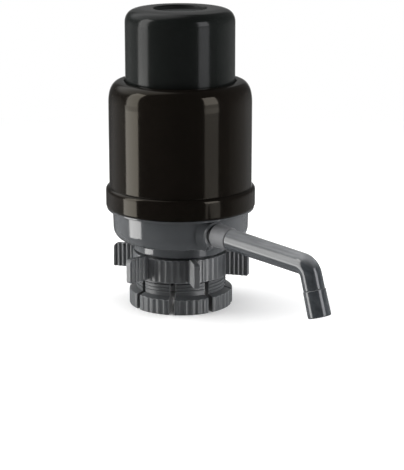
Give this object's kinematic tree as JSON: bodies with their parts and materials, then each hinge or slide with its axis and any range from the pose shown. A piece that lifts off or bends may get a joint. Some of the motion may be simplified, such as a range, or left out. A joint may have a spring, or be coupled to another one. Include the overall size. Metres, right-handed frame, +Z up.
{
  "type": "water jug hand pump",
  "caption": "Manual press pump for a large water jug: sprung press cap over a bellows, swivel spout, and a wing ring that tightens a slotted neck collet.",
  "frame": {"origin": "centre of the collet's mouth, where the jug neck enters, in the plane of the collet's feet", "axes": "+Z up along the pump and jug neck, +X the way the spout points at rest"},
  "size_m": [0.216, 0.1094, 0.218],
  "materials": {
    "cap_plastic": "gloss black ABS",
    "shell_plastic": "gloss near-black ABS",
    "base_plastic": "satin-gloss mid grey ABS",
    "ring_plastic": "satin dark grey ABS",
    "collet_plastic": "satin grey polypropylene",
    "spout_plastic": "pearl grey ABS",
    "collar_plastic": "spark-eroded matte grey ABS",
    "elbow_plastic": "black polypropylene",
    "inner_plastic": "natural white-grey polypropylene",
    "bellows_rubber": "matte EPDM rubber",
    "seal_rubber": "food-grade silicone rubber",
    "valve_rubber": "food-grade silicone rubber",
    "spring_steel": "bright stainless spring wire",
    "screw_steel": "zinc-plated steel"
  },
  "bodies": {
    "housing": {"base_body": "base_plastic", "neck_hub": "base_plastic", "outer_shell": "shell_plastic", "deck_plate": "inner_plastic", "deck_seal": "seal_rubber", "outlet_valve": "valve_rubber", "bellows_clamp_ring": "inner_plastic", "clamp_screws": "screw_steel", "bellows": "bellows_rubber", "return_spring": "spring_steel", "water_elbow": "elbow_plastic", "elbow_seal": "seal_rubber", "neck_gasket": "seal_rubber"},
    "plunger": {"press_cap": "cap_plastic", "bellows_head": "inner_plastic", "intake_valve": "valve_rubber"},
    "spout": {"spout_arm": "spout_plastic", "spout_collar": "collar_plastic", "nozzle_sleeve": "spout_plastic", "spout_o_rings": "seal_rubber"},
    "wing_ring": {"lock_ring": "ring_plastic"},
    "neck_collet": {"collet": "collet_plastic"}
  },
  "joints": [
    {"name": "plunger_press", "type": "slide", "parent": "housing", "child": "plunger", "axis": [0, 0, -1], "range_m": [0, 0.045], "stiffness_N_per_m": 700, "springref_m": -0.012, "deforming": ["bellows", "return_spring"]},
    {"name": "spout_swivel", "type": "hinge", "parent": "housing", "child": "spout", "pos_m": [0.05214, -0.012, 0.0625], "axis": [0.9991, 0, -0.0419], "continuous": true},
    {"name": "ring_turn", "type": "hinge", "parent": "housing", "child": "wing_ring", "pos_m": [0, 0, 0.0402], "axis": [0, 0, -1], "range_deg": [0, 360]},
    {"name": "collet_travel", "type": "slide", "parent": "housing", "child": "neck_collet", "axis": [0, 0, 1], "range_m": [0, 0.005]}
  ],
  "couplings": [
    {"joint": "ring_turn", "follows": "collet_travel", "rad_per_m": 1256.6}
  ]
}
